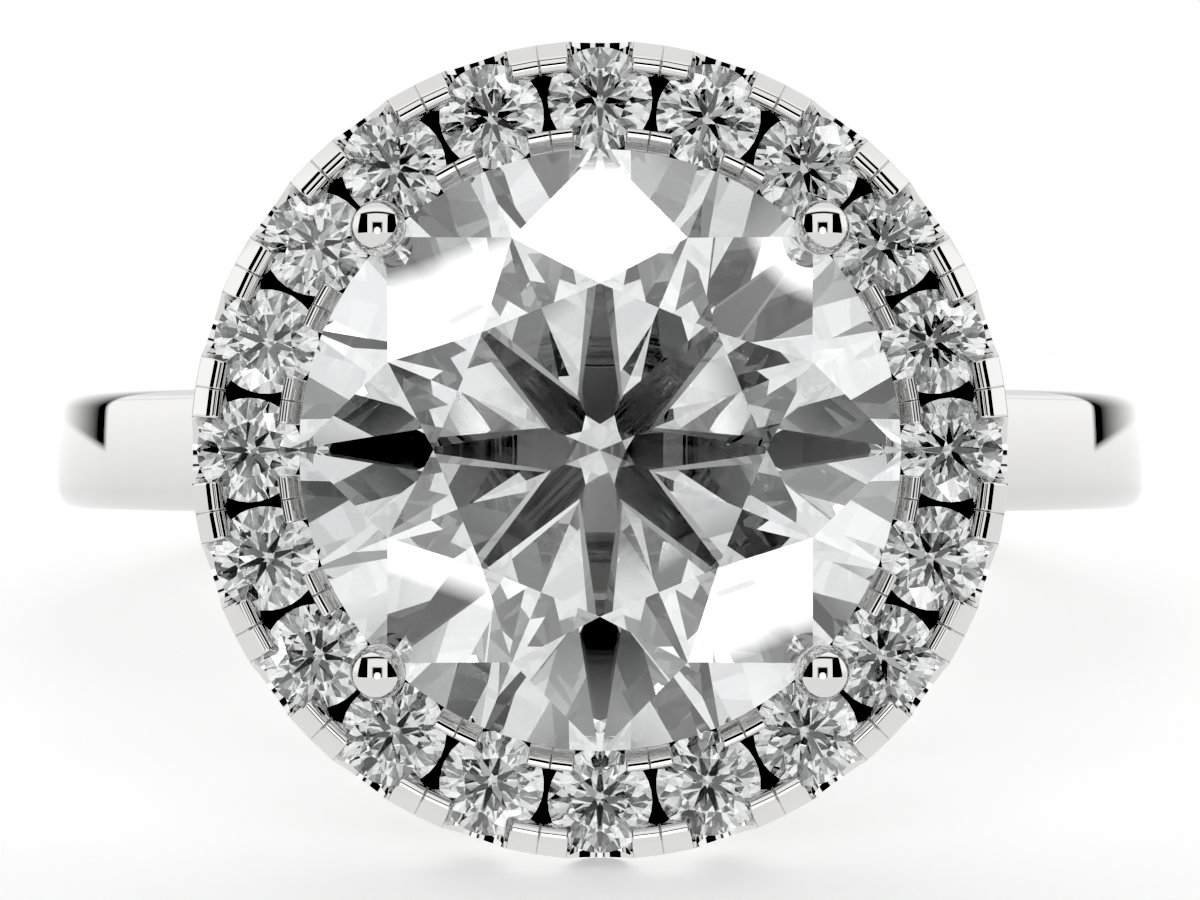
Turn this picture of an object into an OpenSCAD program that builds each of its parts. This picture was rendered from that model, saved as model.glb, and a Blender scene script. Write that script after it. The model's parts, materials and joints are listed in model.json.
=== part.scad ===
/* [Band] */
// Inside diameter of the band, for the finger (17.3 is a US size 7)
finger_d = 17.3; // [15.3:0.1:21.3]
// Width of the band, along the finger
band_w = 2.15; // [1.8:0.05:2.8]
// Thickness of the band, from the finger outwards
band_t = 1.7; // [1.4:0.05:2.1]

/* [Centre stone] */
// Diameter of the centre stone (9.4 is a three carat round brilliant)
stone_d = 9.4; // [8:0.1:10.5]
// Height of the culet above the top of the band
culet_gap = 0.15; // [0.1:0.05:1]

/* [Claws] */
// Diameter of the ball that ends each claw
ball_d = 0.87; // [0.75:0.01:0.95]
// Diameter of a claw where it stands on the base ring
claw_d = 0.84; // [0.7:0.02:0.96]

/* [Halo] */
// Gap between one halo stone and the next
halo_gap = 0.08; // [0.07:0.01:0.2]
// Height of the halo's channel
channel_h = 1.55; // [1.4:0.05:1.8]

/* [Hidden] */
$fn = 64;
// Sides of the large turned shapes, of the band's very shallow dome, and of a wire's section
turn_sides = 180;
dome_sides = 720;
wire_sides = 48;
// Air between a stone and the metal round it
fit_gap = 0.02;
// How far a cut runs past what it cuts
clear = 0.5;

// Proportions of a round brilliant, as shares of its radius or in degrees
table_share = 0.541;
star_share = 0.7515;
lower_share = 0.196;
girdle_share = 0.109;
crown_angle = 33;
pavilion_angle = 40.1;
// Eight bezel facets stand round a stone, stars half a step off them and halves a quarter step
bezels = 8;
half = 180 / bezels;
quarter = half / 2;
// Sides of the girdle
centre_girdle_sides = 64;
halo_girdle_sides = 32;
crown_share = tan(crown_angle) * (1 - table_share);
star_rise = tan(crown_angle) * (1 - star_share * cos(half));
pavilion_share = tan(pavilion_angle);
lower_drop = pavilion_share * (1 - lower_share * cos(half));
upper_slope = star_rise / ((1 - star_share) * cos(quarter));
lower_slope = lower_drop / ((1 - lower_share) * cos(quarter));

// The halo stones just reach the centre stone's edge in plan and fill the circle
halo_count = 20;
halo_step = 360 / halo_count;
stone_r = stone_d / 2;
halo_d = (2 * stone_r * sin(halo_step / 2) - halo_gap) / (1 - sin(halo_step / 2));
halo_r = halo_d / 2;
halo_pitch_r = stone_r + halo_r;
claw_count = 4;
claw_turn = 45;

// Heights above the middle of the finger hole, up the stone's own axis
finger_r = finger_d / 2;
band_r = finger_r + band_t;
girdle_z = band_r + culet_gap + stone_r * (pavilion_share + girdle_share / 2);
// The beads' crests lie under the middle of the centre stone's girdle, and the halo stones under the crests
crest_drop = 0.15;
halo_drop = 0.26;
crest_z = girdle_z - crest_drop;
halo_z = crest_z - halo_drop;
channel_z = crest_z - channel_h;
floor_h = 0.35;

// The channel's two walls, from the centre outwards
inner_wall_gap = 0.015;
inner_wall_t = 0.365;
inner_wall_in = stone_r + inner_wall_gap;
inner_wall_out = inner_wall_in + inner_wall_t;
inner_lip_r = 0.28;
inner_lip_w = 0.23;
inner_lip_at = inner_wall_in + inner_lip_w;
inner_edge_r = 0.07;
inner_edge_at = inner_wall_out - inner_edge_r;
outer_wall_at = 0.376;
outer_wall_t = 0.574;
outer_wall_in = halo_pitch_r + outer_wall_at;
crest_r = 0.19;
crest_at = outer_wall_in + crest_r;
wall_r = outer_wall_in + outer_wall_t;
wall_tuck = 0.3;
wall_foot_r = wall_r - wall_tuck;
// The outer wall slopes from its crest to a shoulder, drops straight to a waist and tucks in to its foot
shoulder_slope = 57;
// The slope starts a little inside the crest's arc, so that the two run into each other
slope_start_share = 0.96;
slope_start_r = slope_start_share * crest_r;
slope_start_x = crest_at + slope_start_r * sin(shoulder_slope);
slope_start_z = crest_z - crest_r + slope_start_r * cos(shoulder_slope);
shoulder_z = slope_start_z - (wall_r - slope_start_x) * tan(shoulder_slope);
waist_drop = 0.9;
// Each stone sits in a scallop cut through both walls, and a slit splits each pair of beads
scallop_half_angle = 4.75;
scallop_bowl_angle = 5.05;
scallop_drop = 0.05;
scallop_z = halo_z - scallop_drop;
slit_w = 0.035;
slit_drop = 0.5;
light_hole_r = 0.42;

// Claws: an upright neck, a bend and a slanting foot on the base ring
ball_r = ball_d / 2;
claw_r = claw_d / 2;
claw_gap = 0.185;
claw_pitch_r = stone_r + claw_gap;
ball_rise = 0.39;
ball_z = girdle_z + ball_rise;
neck_r = 0.33;
bend_wire_r = 0.37;
knee_extra = 0.01;
knee_r = claw_r + knee_extra;
bend_r = 2;
bend_angle = 45;
bend_drop = 0.9;
bend_z = girdle_z - bend_drop;
knee_at = claw_pitch_r - bend_r * (1 - cos(bend_angle));
knee_z = bend_z - bend_r * sin(bend_angle);
base_sink = 0.1;
base_z = band_r - base_sink;
base_low = 0.55;
base_high = 0.33;
base_w = 0.72;
base_bore_gap = 0.3;
foot_len = (knee_z - base_z) / cos(bend_angle);
foot_at = knee_at - foot_len * sin(bend_angle);
base_bore_l = 2 * (foot_at + base_w);
rail_r = 0.33;
rail_share = 0.62;
rail_z = base_z + rail_share * (knee_z - base_z);
rail_at = foot_at + rail_share * (knee_at - foot_at);

// Band section
band_edge_r = 0.32;
band_bore_edge_r = 0.22;
band_dome = 0.05;

// How the ring lies by itself: on the channel's waist and on the band's far edge
waist_z = crest_z - waist_drop;
lean_run = waist_z + band_r - band_edge_r;
lean_rise = wall_r - (band_w / 2 - band_edge_r);
lean = atan2(lean_rise, lean_run) - asin(band_edge_r / norm([lean_run, lean_rise]));
rest_z = wall_r * cos(lean) - waist_z * sin(lean);
// Reach of the ring to the front and the back when it lies so
front_y = -(ball_z * cos(lean) + claw_pitch_r * cos(claw_turn) * sin(lean) + ball_r);
front_table_y = -((girdle_z + stone_r * (crown_share + girdle_share / 2)) * cos(lean)
    + stone_r * table_share * sin(lean));
back_y = (band_r - band_edge_r) * cos(lean) + (band_w / 2 - band_edge_r) * sin(lean) + band_edge_r;
rest_y = -(min(front_y, front_table_y) + back_y) / 2;

function two_digits(n) = n < 10 ? str("0", n) : str(n);
function halo_name(i) = str("halo_stone_", two_digits(i));

// A turn of n points at one radius and height
function turn(n, r, start, z) =
    [for (i = [0:n - 1]) let (a = start + 360 * i / n) [r * cos(a), r * sin(a), z]];
// How far the girdle's scalloped edge dips where the halves are flat and the girdle is round
function off_quarter(a) = abs(a % half - quarter);
function girdle_dip(r, a) = r * (cos(off_quarter(a)) - cos(quarter));
function reversed(list) = [for (i = [len(list) - 1:-1:0]) list[i]];

// Round brilliant with a girdle of n sides, its middle at the origin and its table up
module brilliant(d, n) {
    r = d / 2;
    g = girdle_share * r / 2;
    halves = 2 * bezels;
    per_half = n / halves;
    per_bezel = n / bezels;
    edge_turns = [for (i = [0:n - 1]) 360 * i / n];
    edge_top = [for (a = edge_turns) [r * cos(a), r * sin(a), g - upper_slope * girdle_dip(r, a)]];
    edge_low = [for (a = edge_turns) [r * cos(a), r * sin(a), -g + lower_slope * girdle_dip(r, a)]];
    points = concat(
        turn(bezels, table_share * r, 0, g + crown_share * r),
        turn(bezels, star_share * r, half, g + star_rise * r),
        edge_top,
        edge_low,
        turn(bezels, lower_share * r, half, -g - lower_drop * r),
        [[0, 0, -g - pavilion_share * r]]);
    star = bezels;
    top = star + bezels;
    low = top + n;
    deep = low + n;
    culet = deep + bezels;
    faces = concat(
        [[for (i = [0:bezels - 1]) i]],
        [for (i = [0:bezels - 1]) [i, star + i, (i + 1) % bezels]],
        [for (i = [0:bezels - 1]) [i, star + (i + bezels - 1) % bezels, top + i * per_bezel, star + i]],
        [for (i = [0:halves - 1]) concat([star + floor(i / 2)],
            [for (k = [0:per_half]) top + (i * per_half + k) % n])],
        [for (i = [0:n - 1]) [top + i, low + i, low + (i + 1) % n, top + (i + 1) % n]],
        [for (i = [0:halves - 1]) concat([deep + floor(i / 2)],
            [for (k = [per_half:-1:0]) low + (i * per_half + k) % n])],
        [for (i = [0:bezels - 1])
            [culet, deep + i, low + i * per_bezel, deep + (i + bezels - 1) % bezels]]);
    polyhedron(points = points, faces = [for (f = faces) reversed(f)]);
}

// What a stone of this size keeps clear in the metal round it
module stone_room(d) {
    r = d / 2;
    g = girdle_share * r / 2 + fit_gap;
    rotate_extrude()
        polygon([
            [0, g + crown_share * r],
            [table_share * r + fit_gap, g + crown_share * r],
            [star_share * r + fit_gap, g + star_rise * r],
            [r + fit_gap, g],
            [r + fit_gap, -g],
            [lower_share * r + fit_gap, -g - lower_drop * r],
            [0, -g - pavilion_share * r - fit_gap]]);
}

// Puts its children on the finger's axis, for shapes that turn round the finger
module round_the_finger() {
    rotate([90, 0, 0]) children();
}

module band_section() {
    // Rounded square section under a shallow dome
    dome_r = (pow(band_w / 2, 2) + pow(band_dome, 2)) / (2 * band_dome);
    intersection() {
        union() {
            translate([finger_r, -band_w / 2 + band_edge_r]) square([band_t, band_w - 2 * band_edge_r]);
            translate([finger_r + band_bore_edge_r, -band_w / 2])
                square([band_t - band_bore_edge_r - band_edge_r, band_w]);
            for (side = [-1, 1]) {
                translate([band_r - band_edge_r, side * (band_w / 2 - band_edge_r)]) circle(band_edge_r);
                translate([finger_r + band_bore_edge_r, side * (band_w / 2 - band_bore_edge_r)])
                    circle(band_bore_edge_r);
            }
        }
        translate([band_r - dome_r, 0]) circle(dome_r, $fn = dome_sides);
    }
}

module band() {
    round_the_finger() rotate_extrude($fn = turn_sides) band_section();
}

// Ring on top of the band that the claws stand on
module base_ring() {
    difference() {
        rotate_extrude() translate([foot_at - base_w / 2, base_z - base_low])
            square([base_w, base_low + base_high]);
        round_the_finger()
            cylinder(r = finger_r + base_bore_gap, h = base_bore_l, center = true, $fn = turn_sides);
    }
}

// Rail that ties the claws together half way up, under the stone
module gallery_rail() {
    translate([0, 0, rail_z]) rotate_extrude($fn = turn_sides) translate([rail_at, 0])
        circle(rail_r, $fn = wire_sides);
}

module claw() {
    translate([claw_pitch_r, 0, ball_z]) sphere(ball_r);
    translate([claw_pitch_r, 0, bend_z]) cylinder(r = neck_r, h = ball_z - bend_z);
    // Bend from upright to slanting
    translate([claw_pitch_r - bend_r, 0, bend_z]) rotate([90, 0, 0])
        rotate_extrude(angle = -bend_angle, $fn = turn_sides) translate([bend_r, 0])
            circle(bend_wire_r, $fn = wire_sides);
    translate([knee_at, 0, knee_z]) rotate([0, 180 + bend_angle, 0]) cylinder(r = claw_r, h = foot_len);
    translate([knee_at, 0, knee_z]) sphere(knee_r);
}

module wall_section() {
    // Inner wall, with a lip that falls in to the centre stone, and the channel's floor
    intersection() {
        translate([inner_lip_at, crest_z - inner_lip_r]) circle(inner_lip_r);
        translate([inner_wall_in, channel_z]) square([inner_lip_at - inner_wall_in, crest_z - channel_z]);
    }
    translate([inner_wall_in, channel_z])
        square([inner_lip_at - inner_wall_in, crest_z - inner_lip_r - channel_z]);
    translate([inner_lip_at, channel_z]) square([inner_edge_at - inner_lip_at, crest_z - channel_z]);
    translate([inner_edge_at, channel_z]) square([inner_edge_r, crest_z - inner_edge_r - channel_z]);
    translate([inner_edge_at, crest_z - inner_edge_r]) circle(inner_edge_r);
    translate([inner_wall_in, channel_z]) square([wall_foot_r - inner_wall_in, floor_h]);
    // Outer wall
    polygon([
        [outer_wall_in, channel_z],
        [outer_wall_in, crest_z - crest_r],
        [slope_start_x, slope_start_z],
        [wall_r, shoulder_z],
        [wall_r, crest_z - waist_drop],
        [wall_foot_r, channel_z]]);
    translate([crest_at, crest_z - crest_r]) circle(crest_r);
}

// Scallop for one stone, cut along +X through both walls, with a bowl at the bottom
module scallop() {
    out = wall_r + clear;
    bowl_r = out * tan(scallop_bowl_angle);
    top = crest_z + clear;
    intersection() {
        translate([0, 0, channel_z]) linear_extrude(top - channel_z)
            polygon([[0, 0], [out, out * tan(scallop_half_angle)], [out, -out * tan(scallop_half_angle)]]);
        union() {
            translate([0, 0, scallop_z]) rotate([0, 90, 0]) cylinder(r1 = 0, r2 = bowl_r, h = out);
            translate([0, -2 * bowl_r, scallop_z]) cube([out + clear, 4 * bowl_r, top - scallop_z]);
        }
    }
}

module slit() {
    translate([inner_wall_in - clear, -slit_w / 2, crest_z - slit_drop])
        cube([wall_r - inner_wall_in + 2 * clear, slit_w, slit_drop + clear]);
}

module halo_channel() {
    difference() {
        rotate_extrude($fn = turn_sides) wall_section();
        for (i = [0:halo_count - 1]) {
            rotate(i * halo_step) scallop();
            rotate((i + 0.5) * halo_step) slit();
            rotate(i * halo_step) translate([halo_pitch_r, 0, channel_z - clear])
                cylinder(r = light_hole_r, h = floor_h + 2 * clear);
        }
    }
}

// Lays the ring down as it rests, with its table facing -Y
module laid_down() {
    translate([0, rest_y, rest_z]) rotate([90 - lean, 0, 0]) children();
}

module mounting() {
    color("gainsboro") laid_down() difference() {
        union() {
            band();
            base_ring();
            gallery_rail();
            for (i = [0:claw_count - 1]) rotate(claw_turn + i * 360 / claw_count) claw();
            halo_channel();
        }
        translate([0, 0, girdle_z]) stone_room(stone_d);
        for (i = [0:halo_count - 1])
            rotate(i * halo_step) translate([halo_pitch_r, 0, halo_z]) stone_room(halo_d);
    }
}

module centre_stone() {
    color("aliceblue") laid_down() translate([0, 0, girdle_z]) brilliant(stone_d, centre_girdle_sides);
}

module halo_stone(i) {
    color("azure") laid_down() rotate((i - 1) * halo_step) translate([halo_pitch_r, 0, halo_z])
        brilliant(halo_d, halo_girdle_sides);
}

mounting();
centre_stone();
for (i = [1:halo_count]) halo_stone(i);
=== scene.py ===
import json
import math

import bpy
from mathutils import Matrix, Vector


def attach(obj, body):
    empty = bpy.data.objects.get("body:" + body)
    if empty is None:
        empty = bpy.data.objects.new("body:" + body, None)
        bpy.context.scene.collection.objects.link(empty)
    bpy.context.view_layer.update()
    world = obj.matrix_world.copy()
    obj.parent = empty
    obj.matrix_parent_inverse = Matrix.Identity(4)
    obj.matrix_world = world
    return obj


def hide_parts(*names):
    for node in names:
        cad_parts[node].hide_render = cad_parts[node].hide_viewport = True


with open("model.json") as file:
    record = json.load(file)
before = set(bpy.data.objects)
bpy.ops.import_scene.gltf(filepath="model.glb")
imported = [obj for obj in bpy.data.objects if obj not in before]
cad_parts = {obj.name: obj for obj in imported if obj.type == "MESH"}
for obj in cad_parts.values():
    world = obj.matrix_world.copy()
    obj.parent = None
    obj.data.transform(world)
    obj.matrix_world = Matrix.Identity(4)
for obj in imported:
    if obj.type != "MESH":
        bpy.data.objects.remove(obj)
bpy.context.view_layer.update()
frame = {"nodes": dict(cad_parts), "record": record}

# The finger hole's mount gives the ring's own axes: X across, Y along the finger, Z up the stone.
# Sizes are in millimetres in those axes, and to_row takes them to metres in the row's frame.
MM = 0.001
ROOT = "root"
finger_hole = frame["record"]["mounts"][0]
ring_centre = Vector(finger_hole["pos_m"])
across = Vector((1, 0, 0))
finger_axis = Vector(finger_hole["axis"]).normalized()
stone_axis = across.cross(finger_axis)
ring_turn = Matrix((across, finger_axis, stone_axis)).transposed()
to_row = Matrix.Translation(ring_centre) @ ring_turn.to_4x4() @ Matrix.Scale(MM, 4)
to_ring = to_row.inverted()


def reach(node):
    """Lowest and highest corner of a CAD node in the ring's own axes."""
    points = [to_ring @ v.co for v in frame["nodes"][node].data.vertices]
    return [Vector([pick(p[k] for p in points) for k in range(3)]) for pick in (min, max)]


# Stones, as they are in the frame
HALO_COUNT = 20
HALO_STEP = 360 / HALO_COUNT
GIRDLE_SHARE = 0.109
CROWN_ANGLE = math.radians(33)
PAVILION_ANGLE = math.radians(40.1)
TABLE_SHARE = 0.541
STAR_SHARE = 0.7515
LOWER_SHARE = 0.196
STONE_FACETS = 8
SEAT_GAP = 0.02
stone_low, stone_high = reach("centre_stone")
halo_low, halo_high = reach("halo_stone_01")
stone_r = (stone_high.x - stone_low.x) / 2
halo_r = (halo_high.x - halo_low.x) / 2
halo_pitch_r = (halo_high.x + halo_low.x) / 2
depth_share = math.tan(PAVILION_ANGLE) + GIRDLE_SHARE / 2
girdle_z = stone_low.z + stone_r * depth_share
halo_z = halo_low.z + halo_r * depth_share

# Band
FINGER_R = finger_hole["dims"]["r_mm"]
BAND_T = 1.7
BAND_W = 2.15
BAND_EDGE_R = 0.32
BAND_BORE_EDGE_R = 0.22
BAND_DOME = 0.06
band_r = FINGER_R + BAND_T

# Halo channel
CREST_DROP = 0.15
CHANNEL_H = 1.55
FLOOR_H = 0.35
WAIST_DROP = 0.9
CENTRE_GAP = 0.015
INNER_WALL_W = 0.365
HALO_TO_OUTER_WALL = 0.376
OUTER_WALL_W = 0.574
crest_z = girdle_z - CREST_DROP
channel_z = crest_z - CHANNEL_H
inner_in = stone_r + CENTRE_GAP
inner_out = inner_in + INNER_WALL_W
outer_in = halo_pitch_r + HALO_TO_OUTER_WALL
wall_r = outer_in + OUTER_WALL_W

# Claws and what they stand on
BALL_R = 0.437
NECK_R = 0.33
FOOT_R = 0.42
BEND_R = 2.0
BEND_ANGLE = math.radians(45)
BEND_DROP = 0.9
BALL_RISE = 0.39
CLAW_OUTSIDE_GIRDLE = 0.185
FIRST_CLAW_AT = 45
CLAW_COUNT = 4
RAIL_R = 0.33
RAIL_SHARE = 0.62
BASE_HALF_W = 0.36
BASE_DEPTH = 0.55
BASE_RISE = 0.33
BASE_EDGE_R = 0.12
BASE_SINK = 0.1
claw_pitch_r = stone_r + CLAW_OUTSIDE_GIRDLE
ball_z = girdle_z + BALL_RISE
bend_z = girdle_z - BEND_DROP
base_z = band_r - BASE_SINK
bend_turned = Vector((1 - math.cos(BEND_ANGLE), math.sin(BEND_ANGLE)))
knee = Vector((claw_pitch_r, bend_z)) - BEND_R * bend_turned
foot = Vector((knee.x - (knee.y - base_z) * math.tan(BEND_ANGLE), base_z))


def linear(hex_code):
    """An sRGB hex colour as linear red, green, blue and alpha."""
    channels = [int(hex_code[i:i + 2], 16) / 255 for i in (1, 3, 5)]
    return [c / 12.92 if c <= 0.04045 else ((c + 0.055) / 1.055) ** 2.4 for c in channels] + [1.0]


def add(tree, kind, inputs=None, **settings):
    """Adds a node, sets its settings, and fills its sockets with values or with links."""
    node = tree.nodes.new(kind)
    for name, value in settings.items():
        setattr(node, name, value)
    for socket, value in (inputs or {}).items():
        if isinstance(value, bpy.types.NodeSocket):
            tree.links.new(value, node.inputs[socket])
        else:
            node.inputs[socket].default_value = value
    return node


def start_material(name):
    """A new material with an empty node tree and its output."""
    material = bpy.data.materials.new(name)
    material.use_nodes = True
    material.node_tree.nodes.clear()
    return material, material.node_tree, add(material.node_tree, "ShaderNodeOutputMaterial")


def polished_white_gold():
    """Rhodium plated 18 carat white gold, mirror polished: a cool bright mirror with a breath of haze
    where the mop has passed, and fine polishing ripples too shallow to feel."""
    material, tree, output = start_material("polished_white_gold")
    place = add(tree, "ShaderNodeTexCoord").outputs["Object"]
    haze_size = 0.9 * MM
    ripple_size = 0.35 * MM
    ripple_height = 0.004 * MM
    haze = add(tree, "ShaderNodeTexNoise", {"Vector": place, "Scale": 1 / haze_size, "Detail": 3.0})
    ripple = add(tree, "ShaderNodeTexNoise", {"Vector": place, "Scale": 1 / ripple_size, "Detail": 2.0})
    tone = add(tree, "ShaderNodeMix", {
        "Factor": haze.outputs["Fac"],
        "A": linear("#dddcdb"),
        "B": linear("#e2e2e1")}, data_type="RGBA")
    gloss = add(tree, "ShaderNodeMapRange", {"Value": haze.outputs["Fac"], "To Min": 0.03, "To Max": 0.05})
    bump = add(tree, "ShaderNodeBump", {
        "Height": ripple.outputs["Fac"],
        "Strength": 0.04,
        "Distance": ripple_height})
    metal = add(tree, "ShaderNodeBsdfPrincipled", {
        "Base Color": tone.outputs["Result"],
        "Metallic": 1.0,
        "Roughness": gloss.outputs["Result"],
        "Normal": bump.outputs["Normal"]})
    tree.links.new(metal.outputs["BSDF"], output.inputs["Surface"])
    return material


def painted_shade_metal():
    """Painted shade: white gold in the channel between the stones, coloured near black for the shade in that
    recess so that the stones stand out; dull as cast, with random lighter flecks in its tone."""
    material, tree, output = start_material("painted_shade_metal")
    place = add(tree, "ShaderNodeTexCoord").outputs["Object"]
    grain_size = 0.12 * MM
    grain = add(tree, "ShaderNodeTexNoise", {"Vector": place, "Scale": 1 / grain_size, "Detail": 3.0})
    tone = add(tree, "ShaderNodeMix", {
        "Factor": grain.outputs["Fac"],
        "A": linear("#141414"),
        "B": linear("#3a3a39")}, data_type="RGBA")
    gloss = add(tree, "ShaderNodeMapRange", {"Value": grain.outputs["Fac"], "To Min": 0.3, "To Max": 0.5})
    metal = add(tree, "ShaderNodeBsdfPrincipled", {
        "Base Color": tone.outputs["Result"],
        "Metallic": 1.0,
        "Roughness": gloss.outputs["Result"]})
    tree.links.new(metal.outputs["BSDF"], output.inputs["Surface"])
    return material


def cut_diamond():
    """Colourless diamond, cut and polished: clear, with flat facets that flash and a polished girdle."""
    material, tree, output = start_material("cut_diamond")
    place = add(tree, "ShaderNodeTexCoord").outputs["Object"]
    growth_size = 1.5 * MM
    growth = add(tree, "ShaderNodeTexNoise", {"Vector": place, "Scale": 1 / growth_size})
    tone = add(tree, "ShaderNodeMix", {
        "Factor": growth.outputs["Fac"],
        "A": linear("#fbfdfe"),
        "B": linear("#fefefe")}, data_type="RGBA")
    stone = add(tree, "ShaderNodeBsdfPrincipled", {
        "Base Color": tone.outputs["Result"],
        "Roughness": 0.0,
        "IOR": 2.417,
        "Transmission Weight": 1.0})
    tree.links.new(stone.outputs["BSDF"], output.inputs["Surface"])
    return material


def light_table():
    """Opal white acrylic lit softly from below, as under product photographs."""
    material, tree, output = start_material("opal_light_table")
    white = linear("#f6f6f6")
    table = add(tree, "ShaderNodeBsdfPrincipled", {
        "Base Color": white,
        "Roughness": 0.7,
        "Specular IOR Level": 0.0,
        "Emission Color": white,
        "Emission Strength": 0.3})
    tree.links.new(table.outputs["BSDF"], output.inputs["Surface"])
    return material


def on_circle(centre, radius, degrees):
    """The point on a circle at an angle."""
    a = math.radians(degrees)
    return Vector((centre[0] + radius * math.cos(a), centre[1] + radius * math.sin(a)))


def arc(centre, radius, start, end, count):
    """Points on an arc from one angle in degrees to another, both ends included."""
    return [on_circle(centre, radius, start + (end - start) * i / (count - 1)) for i in range(count)]


SHARP_ANGLE = math.radians(35)


def make_piece(name, points, faces, material):
    """A mesh piece given in the ring's own axes, shaded smooth but for its sharp edges."""
    mesh = bpy.data.meshes.new(name)
    mesh.from_pydata([to_row @ p for p in points], [], faces)
    mesh.materials.append(material)
    mesh.shade_smooth()
    mesh.set_sharp_from_angle(angle=SHARP_ANGLE)
    piece = bpy.data.objects.new(name, mesh)
    bpy.context.scene.collection.objects.link(piece)
    return piece


def level_circle(middle, radius, sides):
    """Points round a level circle."""
    turns = [2 * math.pi * i / sides for i in range(sides)]
    x, y, z = middle
    return [Vector((x + radius * math.cos(a), y + radius * math.sin(a), z)) for a in turns]


def grid_faces(rows, columns, first=0, close_rows=True):
    """Quads over a grid of points whose columns close on themselves, and whose rows may."""
    faces = []
    for i in range(rows if close_rows else rows - 1):
        for j in range(columns):
            row, next_row = i * columns, ((i + 1) % rows) * columns
            next_j = (j + 1) % columns
            faces.append([first + k for k in (row + j, row + next_j, next_row + next_j, next_row + j)])
    return faces


def turn_section(name, section, material, steps, about_finger=False):
    """A closed section turned once round the stone's axis, or round the finger."""
    points = []
    for i in range(steps):
        a = 2 * math.pi * i / steps
        for r, h in section:
            points.append(Vector((r * math.cos(a), h, r * math.sin(a))) if about_finger
                          else Vector((r * math.cos(a), r * math.sin(a), h)))
    return make_piece(name, points, grid_faces(steps, len(section)), material)


def band_section():
    """Rounded square section under a shallow dome, as radius and place along the finger."""
    half_w = BAND_W / 2
    outer, bore = BAND_EDGE_R, BAND_BORE_EDGE_R
    points = arc((band_r - outer, half_w - outer), outer, 0, 90, 12)
    points += arc((FINGER_R + bore, half_w - bore), bore, 90, 180, 10)
    points += arc((FINGER_R + bore, bore - half_w), bore, 180, 270, 10)
    points += arc((band_r - outer, outer - half_w), outer, 270, 360, 12)
    top_steps = 16
    flat = half_w - outer
    points += [Vector((band_r, flat * (2 * i / top_steps - 1))) for i in range(1, top_steps)]
    return [(p.x - BAND_DOME * (p.y / half_w) ** 2 * (p.x > FINGER_R + bore), p.y) for p in points]


def base_section():
    """Rounded box under the claws' feet."""
    inside, outside = foot.x - BASE_HALF_W, foot.x + BASE_HALF_W
    bottom, top = base_z - BASE_DEPTH, base_z + BASE_RISE
    edge = BASE_EDGE_R
    points = arc((outside - edge, top - edge), edge, 0, 90, 6)
    points += arc((inside + edge, top - edge), edge, 90, 180, 6)
    points += arc((inside + edge, bottom + edge), edge, 180, 270, 6)
    points += arc((outside - edge, bottom + edge), edge, 270, 360, 6)
    return points


def rail_section():
    """Round wire part of the way up the claws' lower legs."""
    sides = 48
    return arc(foot.lerp(knee, RAIL_SHARE), RAIL_R, 0, 360 - 360 / sides, sides)


def stone_room(radius, middle_z, sides):
    """What a stone keeps clear in the metal round it, as rings of points about its own axis."""
    girdle = GIRDLE_SHARE * radius / 2 + SEAT_GAP
    crown = math.tan(CROWN_ANGLE)
    deep = math.tan(PAVILION_ANGLE)
    # Where stars and lower halves end, a facet's edge stands nearer the axis than its corners
    in_from_corner = math.cos(math.pi / STONE_FACETS)
    profile = [
        (TABLE_SHARE * radius + SEAT_GAP, girdle + crown * (1 - TABLE_SHARE) * radius),
        (STAR_SHARE * radius + SEAT_GAP, girdle + crown * (1 - STAR_SHARE * in_from_corner) * radius),
        (radius + SEAT_GAP, girdle),
        (radius + SEAT_GAP, -girdle),
        (LOWER_SHARE * radius + SEAT_GAP, -girdle - deep * (1 - LOWER_SHARE * in_from_corner) * radius),
        (SEAT_GAP, -girdle - deep * radius)]
    rings = []
    for r, h in profile:
        rings += level_circle((0, 0, middle_z + h), r, sides)
    faces = grid_faces(len(profile), sides, close_rows=False)
    faces.append(list(reversed(range(sides))))
    faces.append([(len(profile) - 1) * sides + i for i in range(sides)])
    return rings, faces


def all_stone_rooms(material):
    """The room of the centre stone and of every halo stone, as one cutter."""
    points, faces = stone_room(stone_r, girdle_z, 96)
    small, small_faces = stone_room(halo_r, halo_z, 48)
    for i in range(HALO_COUNT):
        turn = Matrix.Rotation(math.radians(i * HALO_STEP), 4, "Z")
        place = turn @ Matrix.Translation((halo_pitch_r, 0, 0))
        faces += [[k + len(points) for k in face] for face in small_faces]
        points += [place @ p for p in small]
    return make_piece("stone_rooms", points, [f[::-1] for f in faces], material)


def cut_seats(piece, cutter):
    """Cuts the stones' seats into a metal piece."""
    cut = piece.modifiers.new("seats", "BOOLEAN")
    cut.operation = "DIFFERENCE"
    cut.solver = "MANIFOLD"
    cut.object = cutter
    depsgraph = bpy.context.evaluated_depsgraph_get()
    mesh = bpy.data.meshes.new_from_object(piece.evaluated_get(depsgraph))
    piece.modifiers.clear()
    piece.data = mesh
    mesh.shade_smooth()
    mesh.set_sharp_from_angle(angle=SHARP_ANGLE)


# The channel's section at a bead. Angles in degrees are those of the surface's normal, from outwards up.
INNER_LIP_R = 0.2
INNER_LIP_W = 0.285
INNER_LIP_END = 80
CREST_R = 0.19
CREST_INNER_R = 0.08
CREST_TURN = 115
CREST_FALL_R = 0.24
CREST_FALL_END = 175
SHOULDER_SLOPE = 57
SLOPE_SHARES = (0.3, 0.6)
SHOULDER_EDGE_R = 0.05
CORNER = 0.04
BOTTOM_EDGE = 0.05
# Where the outer wall turns in, as distance inwards from it and height over the waist or the bottom
WAIST_TURN = ((0.0, 0.04), (0.02, -0.03))
BOTTOM_TURN = ((0.28, 0.04), (0.34, 0.0))
channel_floor_z = channel_z + FLOOR_H


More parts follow.
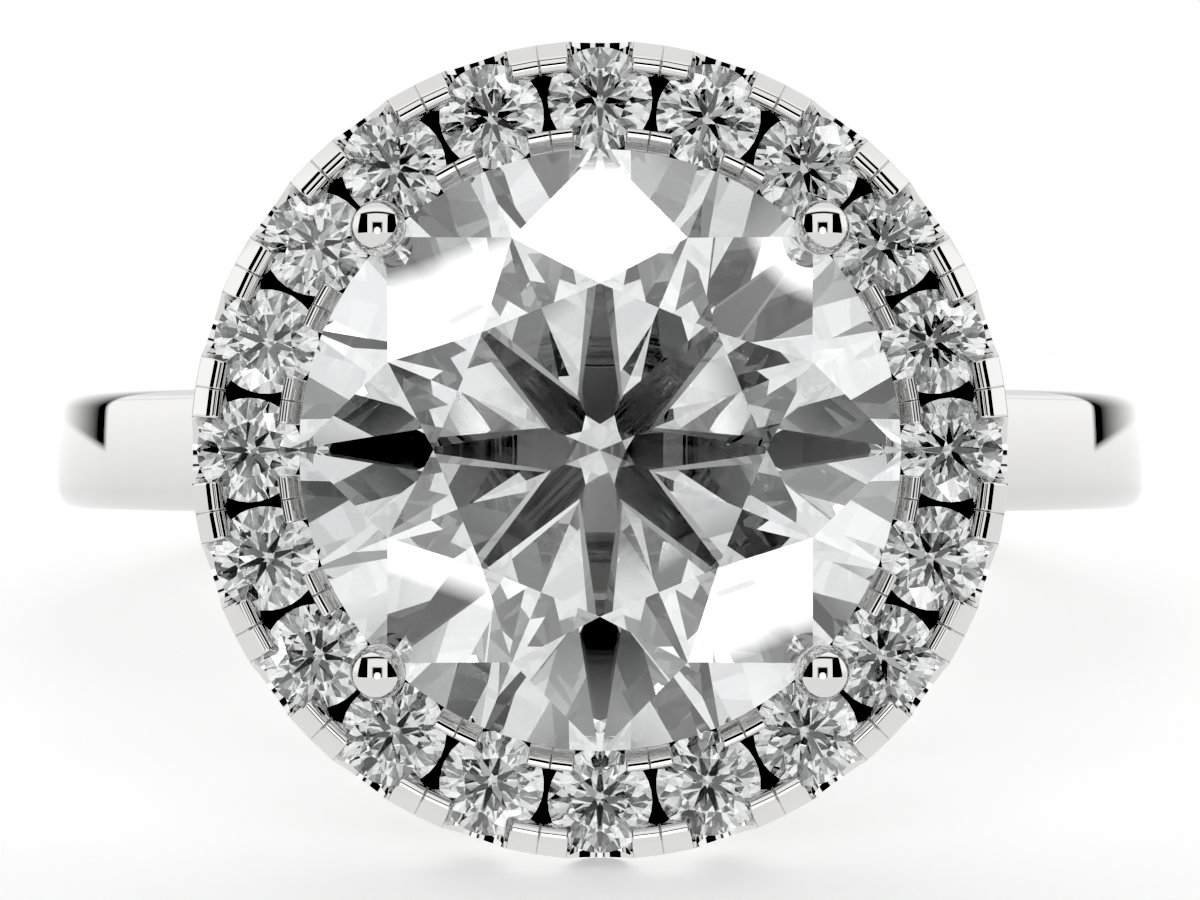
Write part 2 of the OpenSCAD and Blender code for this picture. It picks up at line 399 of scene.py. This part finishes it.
def inner_wall():
    """Radius and height from the centre stone's side over the inner crest to the channel's floor."""
    crest = (inner_in + INNER_LIP_W, crest_z - INNER_LIP_R)
    lip_start = on_circle(crest, INNER_LIP_R, 90 + SHOULDER_SLOPE)
    lip_end = on_circle(crest, INNER_LIP_R, INNER_LIP_END)
    lip_drop = (lip_start.x - inner_in) * math.tan(math.radians(SHOULDER_SLOPE))
    lip_foot = Vector((inner_in, lip_start.y - lip_drop))
    # A tighter arc carries on from the lip's end to the wall's upright side
    edge_r = (inner_out - lip_end.x) / (1 - math.cos(math.radians(INNER_LIP_END)))
    edge_centre = on_circle(lip_end, -edge_r, INNER_LIP_END)
    points = [Vector((inner_in, channel_z + BOTTOM_EDGE)), lip_foot, lip_foot.lerp(lip_start, 0.5)]
    points += arc(crest, INNER_LIP_R, 90 + SHOULDER_SLOPE, INNER_LIP_END, 12)
    points += arc(edge_centre, edge_r, INNER_LIP_END, 0, 7)[1:]
    points += [Vector((inner_out, channel_floor_z + CORNER)), Vector((inner_out + CORNER, channel_floor_z))]
    return points


def outer_wall():
    """Radius and height from the channel's floor over the outer crest, down the shoulder and the waist,
    and back underneath."""
    crest = Vector((outer_in + CREST_R, crest_z - CREST_R))
    inner_crest = Vector((crest.x, crest_z - CREST_INNER_R))
    fall_start = on_circle(inner_crest, CREST_INNER_R, CREST_TURN)
    fall_centre = on_circle(fall_start, -CREST_FALL_R, CREST_TURN)
    fall = arc(fall_centre, CREST_FALL_R, CREST_FALL_END, CREST_TURN, 12)
    foot_r = fall[0].x
    slope = math.radians(SHOULDER_SLOPE)
    slope_top = on_circle(crest, CREST_R, 90 - SHOULDER_SLOPE)
    shoulder = Vector((wall_r, slope_top.y - (wall_r - slope_top.x) * math.tan(slope)))
    edge_drop = SHOULDER_EDGE_R * math.tan((math.pi / 2 - slope) / 2)
    edge_centre = shoulder - Vector((SHOULDER_EDGE_R, edge_drop))
    points = [Vector((foot_r - CORNER, channel_floor_z)), Vector((foot_r, channel_floor_z + CORNER))]
    points += fall[:-1]
    points += arc(inner_crest, CREST_INNER_R, CREST_TURN, 90, 5)
    points += arc(crest, CREST_R, 90, 90 - SHOULDER_SLOPE, 10)[1:]
    points += [slope_top.lerp(shoulder, share) for share in SLOPE_SHARES]
    points += arc(edge_centre, SHOULDER_EDGE_R, 90 - SHOULDER_SLOPE, 0, 4)
    points += [Vector((wall_r - inwards, crest_z - WAIST_DROP + up)) for inwards, up in WAIST_TURN]
    points += [Vector((wall_r - inwards, channel_z + up)) for inwards, up in BOTTOM_TURN]
    points += [Vector((inner_in + BOTTOM_EDGE, channel_z))]
    return points


# Scallops, beads and slits: angles round the channel are in degrees
SCALLOP_HALF_ANGLE = 4.7
BEAD_SIDE_ANGLE = 0.004
TOP_MARGIN_ANGLE = 0.05
SLIT_HALF_ANGLE = 0.22
SCALLOP_DEPTH = 0.87
SCALLOP_BOWL = 0.66
BEAD_EDGE_R = 0.035
SLIT_DEPTH = 0.05
ROUNDED_DOWN_TO = 0.5
UNCUT = 99.0


def column_limits():
    """For half a step, from a stone's middle to the slit between two beads: the angle, the height that
    the scallop cuts down to, and how far the bead's round edge or the slit lowers the top."""
    mean_r = (inner_in + wall_r) / 2
    bead_side = SCALLOP_HALF_ANGLE + BEAD_SIDE_ANGLE
    bowl_steps, edge_steps, slit_steps = 14, 4, 4
    columns = []
    for i in range(bowl_steps + 1):
        turn = math.pi / 2 * i / bowl_steps
        cut = crest_z - SCALLOP_DEPTH + SCALLOP_BOWL * (1 - math.cos(turn))
        columns.append((SCALLOP_HALF_ANGLE * math.sin(turn), cut, 0.0))
    for i in range(edge_steps + 1):
        turn = math.pi / 2 * i / edge_steps
        angle = bead_side + math.degrees(BEAD_EDGE_R * (1 - math.cos(turn)) / mean_r)
        columns.append((angle, UNCUT, BEAD_EDGE_R * (1 - math.sin(turn))))
    # Columns close to both edges keep the bead's top true between them
    columns.append((columns[-1][0] + TOP_MARGIN_ANGLE, UNCUT, 0.0))
    columns.append((HALO_STEP / 2 - SLIT_HALF_ANGLE - TOP_MARGIN_ANGLE, UNCUT, 0.0))
    for i in range(slit_steps + 1):
        share = i / slit_steps
        angle = HALO_STEP / 2 - SLIT_HALF_ANGLE * (1 - share)
        columns.append((angle, UNCUT, SLIT_DEPTH * share * share))
    return columns


def halo_channel(material):
    """Channel with two walls, scalloped at each stone so that pairs of beads stand between the stones."""
    section = inner_wall() + outer_wall()
    half = column_limits()
    step = half + [(HALO_STEP - a, cut, low) for a, cut, low in reversed(half[1:-1])]
    points = []
    for i in range(HALO_COUNT):
        for a, cut, low in step:
            turn = math.radians(i * HALO_STEP + a)
            for r, h in section:
                lowered = h - low * (h > crest_z - ROUNDED_DOWN_TO)
                points.append(Vector((r * math.cos(turn), r * math.sin(turn), min(lowered, cut))))
    faces = grid_faces(HALO_COUNT * len(step), len(section))
    return make_piece("halo_channel", points, faces, material)


LEG_SHARE = 0.6
LEG_TAPER = 0.95
KNEE_EXTRA_R = 0.05
STEM_TOP = 0.05


def claw_rings(sides):
    """Rings of points up one claw, from its foot on the base ring to under its ball."""
    path = [(foot, BEND_ANGLE, FOOT_R), (foot.lerp(knee, LEG_SHARE), BEND_ANGLE, FOOT_R * LEG_TAPER)]
    bend_steps = 10
    for i in range(bend_steps + 1):
        share_left = 1 - i / bend_steps
        lean = BEND_ANGLE * share_left
        turned = Vector((1 - math.cos(lean), math.sin(lean)))
        at = Vector((claw_pitch_r, bend_z)) - BEND_R * turned
        path.append((at, lean, NECK_R + KNEE_EXTRA_R * share_left))
    path.append((Vector((claw_pitch_r, ball_z - STEM_TOP)), 0.0, NECK_R))
    rings = []
    for at, lean, radius in path:
        for j in range(sides):
            a = 2 * math.pi * j / sides
            out, aside = radius * math.cos(a), radius * math.sin(a)
            rings.append(Vector((at.x + out * math.cos(lean), aside, at.y - out * math.sin(lean))))
    return rings, len(path)


def claw_stem():
    """Points and faces of one claw's wire."""
    sides = 40
    points, rows = claw_rings(sides)
    faces = grid_faces(rows, sides, close_rows=False)
    faces += [list(reversed(range(sides))), [(rows - 1) * sides + j for j in range(sides)]]
    return points, faces


def claw_ball():
    """Points and faces of the round ball that one claw's end is melted to."""
    rows, sides = 31, 64
    points = [Vector((claw_pitch_r, 0, ball_z - BALL_R))]
    for i in range(1, rows + 1):
        up = math.pi * (i / (rows + 1) - 0.5)
        middle = (claw_pitch_r, 0, ball_z + BALL_R * math.sin(up))
        points += level_circle(middle, BALL_R * math.cos(up), sides)
    points.append(Vector((claw_pitch_r, 0, ball_z + BALL_R)))
    last = len(points) - 1
    top = last - sides
    faces = grid_faces(rows, sides, first=1, close_rows=False)
    faces += [[0, 1 + (j + 1) % sides, 1 + j] for j in range(sides)]
    faces += [[last, top + j, top + (j + 1) % sides] for j in range(sides)]
    return points, faces


def claws(material):
    """Wire claws, each bent in towards the band and with a ball over the girdle."""
    pieces = []
    for k in range(CLAW_COUNT):
        turn = Matrix.Rotation(math.radians(FIRST_CLAW_AT + 360 / CLAW_COUNT * k), 4, "Z")
        for kind, (points, faces) in (("stem", claw_stem()), ("ball", claw_ball())):
            pieces.append(make_piece(f"claw_{kind}_{k + 1}", [turn @ p for p in points], faces, material))
    return pieces


# Painted shade: the channel between the walls, coloured near black where shade falls
SHADE_PAINTED_FROM = 0.2
SHADE_PAINTED_IN = 0.1
SHADE_PAINTED_OUT = 0.02
SHADE_PAINTED_OVER_BOTTOM = 0.01


def paint_channel_shade(channel, material):
    """Paints shade as near-black metal on the channel's floor, its inner faces under the crests, and the
    stones' seats.
    """
    channel.data.materials.append(material)
    shade_slot = len(channel.data.materials) - 1
    for face in channel.data.polygons:
        at = to_ring @ face.center
        out = math.hypot(at.x, at.y)
        between_walls = inner_in + SHADE_PAINTED_IN < out < outer_in + SHADE_PAINTED_OUT
        if between_walls and channel_z + SHADE_PAINTED_OVER_BOTTOM < at.z < crest_z - SHADE_PAINTED_FROM:
            face.material_index = shade_slot


def finish_metal(pieces):
    """What every metal piece rides and takes the place of."""
    for piece in pieces:
        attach(piece, ROOT)
        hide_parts("mounting")


gold = polished_white_gold()
shade_metal = painted_shade_metal()
diamond = cut_diamond()

rooms = all_stone_rooms(gold)
seated = [halo_channel(gold)] + claws(gold)
for seated_piece in seated:
    cut_seats(seated_piece, rooms)
bpy.data.objects.remove(rooms)
# Painted shade: near-black metal on the channel's floor, its inner faces and the stones' seats
paint_channel_shade(seated[0], shade_metal)
plain = [
    turn_section("band", band_section(), gold, 360, about_finger=True),
    turn_section("base_ring", base_section(), gold, 96),
    turn_section("gallery_rail", rail_section(), gold, 160)]
finish_metal(seated + plain)

for name, node in frame["nodes"].items():
    if name != "mounting":
        node.data.materials.clear()
        node.data.materials.append(diamond)
        node.data.shade_flat()

FLOOR_R = 31 * MM
FLOOR_SIDES = 128
floor_mesh = bpy.data.meshes.new("floor")
floor_edge = level_circle((0, 0, 0), FLOOR_R, FLOOR_SIDES)
floor_mesh.from_pydata(floor_edge, [], [list(range(FLOOR_SIDES))])
floor_mesh.materials.append(light_table())
floor = bpy.data.objects.new("floor", floor_mesh)
bpy.context.scene.collection.objects.link(floor)
# The ring's mirrors and facets look past it at the studio's own light from below
floor.visible_glossy = False
floor.visible_transmission = False


def lay_between(tree, level, limits, light):
    """Brings the light to another level where all values are within their limits. A limit is a value,
    the low and the high end that it keeps between, or None, and half the width of its soft edge."""
    inside = 1.0
    for value, low, high, soft in limits:
        if low is not None:
            inside = add(tree, "ShaderNodeMapRange", {
                "Value": value,
                "From Min": low - soft,
                "From Max": low + soft,
                "To Max": inside}).outputs["Result"]
        if high is not None:
            inside = add(tree, "ShaderNodeMapRange", {
                "Value": value,
                "From Min": high + soft,
                "From Max": high - soft,
                "To Max": inside}).outputs["Result"]
    laid = add(tree, "ShaderNodeMapRange", {"Value": inside, "To Min": level, "To Max": light})
    return laid.outputs["Result"]


def lay_card(tree, level, place, card, soft, oblong=False):
    """Brings the light to another level on a soft edged card, round or oblong, given by its centre, half
    its length and width, its turn in degrees, and its light."""
    centre, size, turn, light = card
    near = add(tree, "ShaderNodeMapping", {
        "Vector": place,
        "Location": (*centre, 0),
        "Rotation": (0, 0, math.radians(turn)),
        "Scale": (*size, 1)}, vector_type="TEXTURE").outputs["Vector"]
    if oblong:
        sides = add(tree, "ShaderNodeVectorMath", {0: near}, operation="ABSOLUTE").outputs["Vector"]
        apart = add(tree, "ShaderNodeSeparateXYZ", {"Vector": sides})
        out = add(tree, "ShaderNodeMath", {0: apart.outputs["X"], 1: apart.outputs["Y"]}, operation="MAXIMUM")
    else:
        out = add(tree, "ShaderNodeVectorMath", {0: near}, operation="LENGTH")
    return add(tree, "ShaderNodeMapRange", {
        "Value": out.outputs["Value"],
        "From Min": 1 + soft,
        "From Max": 1 - soft,
        "To Min": level,
        "To Max": light}).outputs["Result"]


# What the metal mirrors, by place in the mirror ball: levels of light, edges, and half an edge's width
WALL_LIGHT = 1.22
FRONT_LIGHT = 1.1
FRONT_HALF_W = 0.36
CEILING_LIGHT = 0.97
CEILING_LOW = 0.55
BRIGHT_BAND = (0.60, 0.70, 0.05)
SEAM_LIGHT = 0.02
SEAM_LOW, SEAM_HIGH = 0.50, 0.57
SEAM_HALF_W = 0.6
SEAM_BOW = 0.2
FLAG_LIGHT = 0.0
FLAG_IN, FLAG_OUT = 0.355, 0.69
FLAG_LOW, FLAG_HIGH = -0.18, 0.47
FLAG_LEAN = 0.19
HOOD = ((0, 0.01), (0.175, 0.18), 0, 0.0)
HOOD_SOFT = 0.17
HOOD_LAMP = ((0, -0.11), (0.105, 0.105), 0, 2.4)
HOOD_LAMP_SOFT = 0.33
LIGHT_FROM_BELOW = 0.96
BELOW_HIGH = -0.19
BESIDE_IN = 0.70
BESIDE_HEIGHT = (-0.25, 0.3, 0.05)
BESIDE_LIGHT_LOW = 0.95
HORIZON_HALF_W = 0.08
ROOM_IN = 0.887
ROOM_IN_OVERHEAD = 0.1
ROOM_IN_SOFT = 0.004
ROOM_LOW = -0.53
ROOM_LOW_RISE = 0.6
ROOM_LOW_SOFT = 0.008
ROOM_FADE_FROM, ROOM_FADE_TO = 0.90, 0.98
BEHIND_LIGHT = 1.15
EDGE = 0.012


def metal_studio(tree, place):
    """What the metal mirrors: white walls, a soft grey ceiling over a thin dark seam, two black flags
    beside a white front, the round lamp in its dark hood over the camera, and white from below."""
    apart = add(tree, "ShaderNodeSeparateXYZ", {"Vector": place})
    x, y = apart.outputs["X"], apart.outputs["Y"]
    side = add(tree, "ShaderNodeMath", {0: x}, operation="ABSOLUTE").outputs["Value"]
    level = lay_between(tree, WALL_LIGHT, [(side, None, FRONT_HALF_W, EDGE)], FRONT_LIGHT)
    # Ceiling, with a brighter band that follows the seam, which bows up at the sides
    out = add(tree, "ShaderNodeMath", {0: x, 1: x}, operation="MULTIPLY").outputs["Value"]
    bowed = add(tree, "ShaderNodeMath", {
        0: out,
        1: SEAM_BOW,
        2: y}, operation="MULTIPLY_ADD").outputs["Value"]
    level = lay_between(tree, level, [(bowed, CEILING_LOW, None, EDGE)], CEILING_LIGHT)
    level = lay_between(tree, level, [(bowed, *BRIGHT_BAND)], WALL_LIGHT)
    seam = [(bowed, SEAM_LOW, SEAM_HIGH, EDGE), (side, None, SEAM_HALF_W, EDGE)]
    level = lay_between(tree, level, seam, SEAM_LIGHT)
    # Flags lean in a little towards the top
    lean_in = add(tree, "ShaderNodeMath", {0: y, 1: FLAG_LEAN, 2: side}, operation="MULTIPLY_ADD")
    flags = [
        (side, FLAG_IN, None, EDGE),
        (lean_in.outputs["Value"], None, FLAG_OUT, EDGE),
        (y, FLAG_LOW, FLAG_HIGH, EDGE)]
    level = lay_between(tree, level, flags, FLAG_LIGHT)
    level = lay_card(tree, level, place, HOOD, HOOD_SOFT, oblong=True)
    level = lay_between(tree, level, [(y, None, BELOW_HIGH, EDGE)], LIGHT_FROM_BELOW)
    level = lay_card(tree, level, place, HOOD_LAMP, HOOD_LAMP_SOFT)
    # Out at the sides the light falls off across the horizon
    fall = add(tree, "ShaderNodeMapRange", {
        "Value": y,
        "From Min": -HORIZON_HALF_W,
        "From Max": HORIZON_HALF_W,
        "To Min": BESIDE_LIGHT_LOW,
        "To Max": WALL_LIGHT}).outputs["Result"]
    level = lay_between(tree, level, [(side, BESIDE_IN, None, EDGE), (y, *BESIDE_HEIGHT)], fall)
    # Dark room behind the tent's open back, fading to white again right behind the ring. The tent reaches
    # further back overhead, and the room's lower edge rises towards the back.
    far = add(tree, "ShaderNodeVectorMath", {0: place}, operation="LENGTH").outputs["Value"]
    high = add(tree, "ShaderNodeMath", {0: y, 1: y}, operation="MULTIPLY").outputs["Value"]
    reach_back = add(tree, "ShaderNodeMath", {
        0: high,
        1: -ROOM_IN_OVERHEAD,
        2: far}, operation="MULTIPLY_ADD")
    lower_edge = add(tree, "ShaderNodeMath", {
        0: far,
        1: -ROOM_LOW_RISE,
        2: y}, operation="MULTIPLY_ADD")
    room = [
        (reach_back.outputs["Value"], ROOM_IN, None, ROOM_IN_SOFT),
        (lower_edge.outputs["Value"], ROOM_LOW, None, ROOM_LOW_SOFT)]
    fade = add(tree, "ShaderNodeMapRange", {
        "Value": far,
        "From Min": ROOM_FADE_FROM,
        "From Max": ROOM_FADE_TO,
        "To Max": BEHIND_LIGHT})
    return lay_between(tree, level, room, fade.outputs["Result"])


# What the stones gather, by place in the mirror ball: centre, half length and width, turn in degrees, light.
# FAR_CARDS and ROUND_THE_CAMERA aren't a layout made by hand. Most of their rows follow shapes that a search
# program fitted to the photo's centre stone, rounded and then moved in many small steps.
STONE_TENT = 0.88
DARK_RIM = 0.95
FAR_CARDS = [
    ((-0.02, 0.80), (0.12, 0.14), 0, 0.5),
    ((-0.57, 0.58), (0.14, 0.08), -50, 0.0),
    ((-0.31, 0.58), (0.20, 0.045), 90, 0.3),
    ((0.62, 0.58), (0.50, 0.13), -42, 1.1),
    ((0.31, 0.56), (0.10, 0.05), 20, 0.3),
    ((0.77, 0.20), (0.13, 0.09), 90, 0.0),
    ((0.37, 0.24), (0.32, 0.07), 0, 1.1),
    ((0.56, 0.0), (0.12, 0.14), 0, 0.1),
    ((0.62, -0.08), (0.08, 0.03), 15, 0.0),
    ((0.33, -0.02), (0.22, 0.065), 90, 0.15),
    ((0.29, 0.01), (0.08, 0.035), 90, 0.0),
    ((0.15, -0.42), (0.25, 0.10), 90, 1.1),
    ((0.47, -0.52), (0.09, 0.09), 0, 0.3),
    ((0.0, -0.553), (0.03, 0.015), 0, 0.0),
    ((-0.44, -0.50), (0.33, 0.06), -28, 0.15),
    ((-0.58, -0.60), (0.20, 0.09), -10, 0.15),
    ((-0.44, -0.45), (0.09, 0.035), -40, 0.0),
    ((-0.32, -0.505), (0.16, 0.03), 3, 0.0),
    ((-0.58, -0.07), (0.18, 0.14), 15, 0.0),
    ((-0.62, -0.05), (0.04, 0.03), 90, 0.4),
    ((-0.33, 0.15), (0.17, 0.18), 0, 0.3),
    ((-0.285, 0.14), (0.035, 0.04), 0, 0.0),
    ((-0.12, -0.29), (0.09, 0.03), 0, 0.3),
    ((-0.265, -0.135), (0.08, 0.065), -35, 0.05),
    ((-0.32, -0.03), (0.06, 0.025), 90, 0.9),
    ((0.63, -0.63), (0.05, 0.05), 0, 1.9),
    ((0.63, 0.63), (0.05, 0.05), 0, 1.3),
    ((0.0, -0.89), (0.05, 0.04), 0, 1.6),
    ((0.88, 0.0), (0.05, 0.05), 0, 0.2),
    ((-0.63, -0.63), (0.05, 0.05), 0, 0.3)]
ROUND_THE_CAMERA = [
    ((-0.01, 0.01), (0.19, 0.165), 0, 0.2),
    ((0.0, 0.28), (0.14, 0.035), -55, 1.1),
    ((0.01, -0.22), (0.09, 0.035), 40, 1.1),
    ((0.06, -0.125), (0.048, 0.034), 95, 1.0),
    ((0.205, -0.065), (0.04, 0.045), 0, 1.0),
    ((0.018, 0.037), (0.048, 0.053), 0, 0.0),
    ((-0.045, 0.023), (0.025, 0.015), 0, 0.6),
    ((-0.092, 0.035), (0.06, 0.022), 90, 0.0),
    ((-0.17, 0.065), (0.085, 0.025), -5, 0.0),
    ((-0.165, 0.14), (0.05, 0.024), 90, 0.0),
    ((-0.135, 0.16), (0.055, 0.02), 0, 0.3),
    ((-0.122, 0.112), (0.038, 0.013), 72, 1.0),
    ((-0.06, 0.148), (0.04, 0.014), 15, 0.0),
    ((-0.085, 0.123), (0.014, 0.014), 0, 0.0),
    ((-0.045, 0.11), (0.035, 0.024), -5, 1.0),
    ((-0.012, 0.137), (0.02, 0.01), -30, 0.0),
    ((0.052, 0.154), (0.025, 0.009), 20, 0.0),
    ((0.055, 0.127), (0.04, 0.014), -25, 1.0),
    ((0.075, 0.134), (0.013, 0.013), 0, 0.0),
    ((0.12, 0.128), (0.016, 0.016), 0, 0.0),
    ((0.13, 0.045), (0.035, 0.03), 90, 0.0),
    ((0.155, 0.075), (0.045, 0.014), 90, 0.0),
    ((0.138, -0.1), (0.035, 0.014), -15, 0.0),
    ((-0.002, -0.135), (0.035, 0.035), 90, 0.0),
    ((-0.048, -0.085), (0.045, 0.009), 52, 1.0),
    ((-0.141, -0.072), (0.024, 0.018), 90, 1.0),
    ((0.046, -0.044), (0.024, 0.018), 90, 0.0),
    ((-0.21, -0.02), (0.055, 0.045), 0, 0.0),
    ((-0.165, -0.16), (0.06, 0.01), -35, 0.0)]
STRIP_LAMPS = [
    ((0.0, 0.567), (0.03, 0.0062), 0, 6.0),
    ((-0.397, 0.395), (0.02, 0.010), 28, 6.0),
    ((0.3975, -0.3955), (0.02, 0.010), 27, 6.0),
    ((-0.399, -0.388), (0.02, 0.010), -27, 6.0)]
# Seams between lamps, where they show a shade less light
LAMP_SEAMS = [
    ((-0.400, 0.398), (0.009, 0.0003), 33, 4.9),
    ((0.402, -0.3975), (0.010, 0.0003), 27, 4.9)]
# Small round lamps that each light one facet of one of the small stones: centre and radius
SMALL_LAMP_LIGHT = 4.5
SMALL_LAMPS = [
    ((0.285, 0.498), 0.015),
    ((0.344, 0.473), 0.015),
    ((0.235, 0.524), 0.015),
    ((-0.235, 0.524), 0.015),
    ((-0.206, -0.506), 0.015),
    ((-0.13, -0.531), 0.015),
    ((0.04, -0.545), 0.013),
    ((0.235, -0.524), 0.015),
    ((-0.117, 0.562), 0.015),
    ((-0.571, 0.061), 0.015),
    ((0.345, 0.385), 0.015)]
CORNER_LAMP = ((0.416, 0.416), (0.0185, 0.0185), 0, 6.0)
# Half the width of a card's soft edge, as a share of its size
CARD_SOFT = 0.25
STRIP_SOFT = 0.12
CORNER_SOFT = 0.06


def stone_studio(tree, place):
    """What the stones gather: a pale tent with dark gaps and white cards, the camera's own dark surround,
    and strip lamps that show as hot streaks on the bezel facets."""
    far = add(tree, "ShaderNodeVectorMath", {0: place}, operation="LENGTH").outputs["Value"]
    level = lay_between(tree, STONE_TENT, [(far, DARK_RIM, None, EDGE)], 0.0)
    small_lamps = [(centre, (radius, radius), 0, SMALL_LAMP_LIGHT) for centre, radius in SMALL_LAMPS]
    for card in FAR_CARDS + ROUND_THE_CAMERA + small_lamps:
        level = lay_card(tree, level, place, card, CARD_SOFT)
    for card in STRIP_LAMPS + LAMP_SEAMS:
        level = lay_card(tree, level, place, card, STRIP_SOFT, oblong=True)
    return lay_card(tree, level, place, CORNER_LAMP, CORNER_SOFT)


def studio():
    """Light tent for a product photograph put together from two takes: one lit for the metal and one for
    the stones. Shapes are laid out as a mirror ball on the stone's axis shows them, x across and y along
    the finger, with the tent's back at its rim."""
    world = bpy.data.worlds.new("studio")
    bpy.context.scene.world = world
    world.use_nodes = True
    tree = world.node_tree
    tree.nodes.clear()
    away = add(tree, "ShaderNodeTexCoord").outputs["Generated"]
    half_way = add(tree, "ShaderNodeVectorMath", {0: away, 1: stone_axis}, operation="ADD").outputs["Vector"]
    ball = add(tree, "ShaderNodeVectorMath", {0: half_way}, operation="NORMALIZE").outputs["Vector"]
    x = add(tree, "ShaderNodeVectorMath", {0: ball, 1: across}, operation="DOT_PRODUCT").outputs["Value"]
    y = add(tree, "ShaderNodeVectorMath", {0: ball, 1: finger_axis}, operation="DOT_PRODUCT").outputs["Value"]
    place = add(tree, "ShaderNodeCombineXYZ", {"X": x, "Y": y}).outputs["Vector"]
    # A stone's facets are perfectly sharp mirrors, the mopped metal isn't quite. The camera sees plain white.
    path = add(tree, "ShaderNodeLightPath")
    white = linear("#ffffff")
    for_metal, for_stones, backdrop = [
        add(tree, "ShaderNodeBackground", {"Color": white, "Strength": level}).outputs["Background"]
        for level in (metal_studio(tree, place), stone_studio(tree, place), 1.0)]
    light = add(tree, "ShaderNodeMixShader", {
        0: path.outputs["Is Singular Ray"],
        1: for_metal,
        2: for_stones})
    seen = add(tree, "ShaderNodeMixShader", {
        0: path.outputs["Is Camera Ray"],
        1: light.outputs["Shader"],
        2: backdrop})
    add(tree, "ShaderNodeOutputWorld", {"Surface": seen.outputs["Shader"]})


studio()

# The camera looks down the stone's axis, as far off as the band's and the halo's sizes in the photo say
CAMERA_FAR = 79.12
PHOTO_W = 1200
FOCAL_PX = 4113.5
SENSOR_MM = 36
camera_data = bpy.data.cameras.new("camera")
camera_data.sensor_width = SENSOR_MM
camera_data.lens = SENSOR_MM * FOCAL_PX / PHOTO_W
camera_data.clip_start = 1 * MM
camera_data.clip_end = 5
camera = bpy.data.objects.new("camera", camera_data)
camera.matrix_world = Matrix.Translation(to_row @ Vector((0, 0, CAMERA_FAR))) @ ring_turn.to_4x4()
bpy.context.scene.collection.objects.link(camera)
bpy.context.scene.camera = camera

# Light takes many turns inside a diamond, and the white has to stay white
cycles = bpy.context.scene.cycles
cycles.max_bounces = 32
cycles.transmission_bounces = 32
cycles.glossy_bounces = 12
cycles.caustics_reflective = True
cycles.caustics_refractive = True
cycles.blur_glossy = 0.0
cycles.sample_clamp_indirect = 0.0
view = bpy.context.scene.view_settings
view.view_transform = "Standard"
# The picture's blacks are printed full
view.use_curve_mapping = True
view.curve_mapping.black_level = (0.025, 0.025, 0.025)
view.curve_mapping.update()
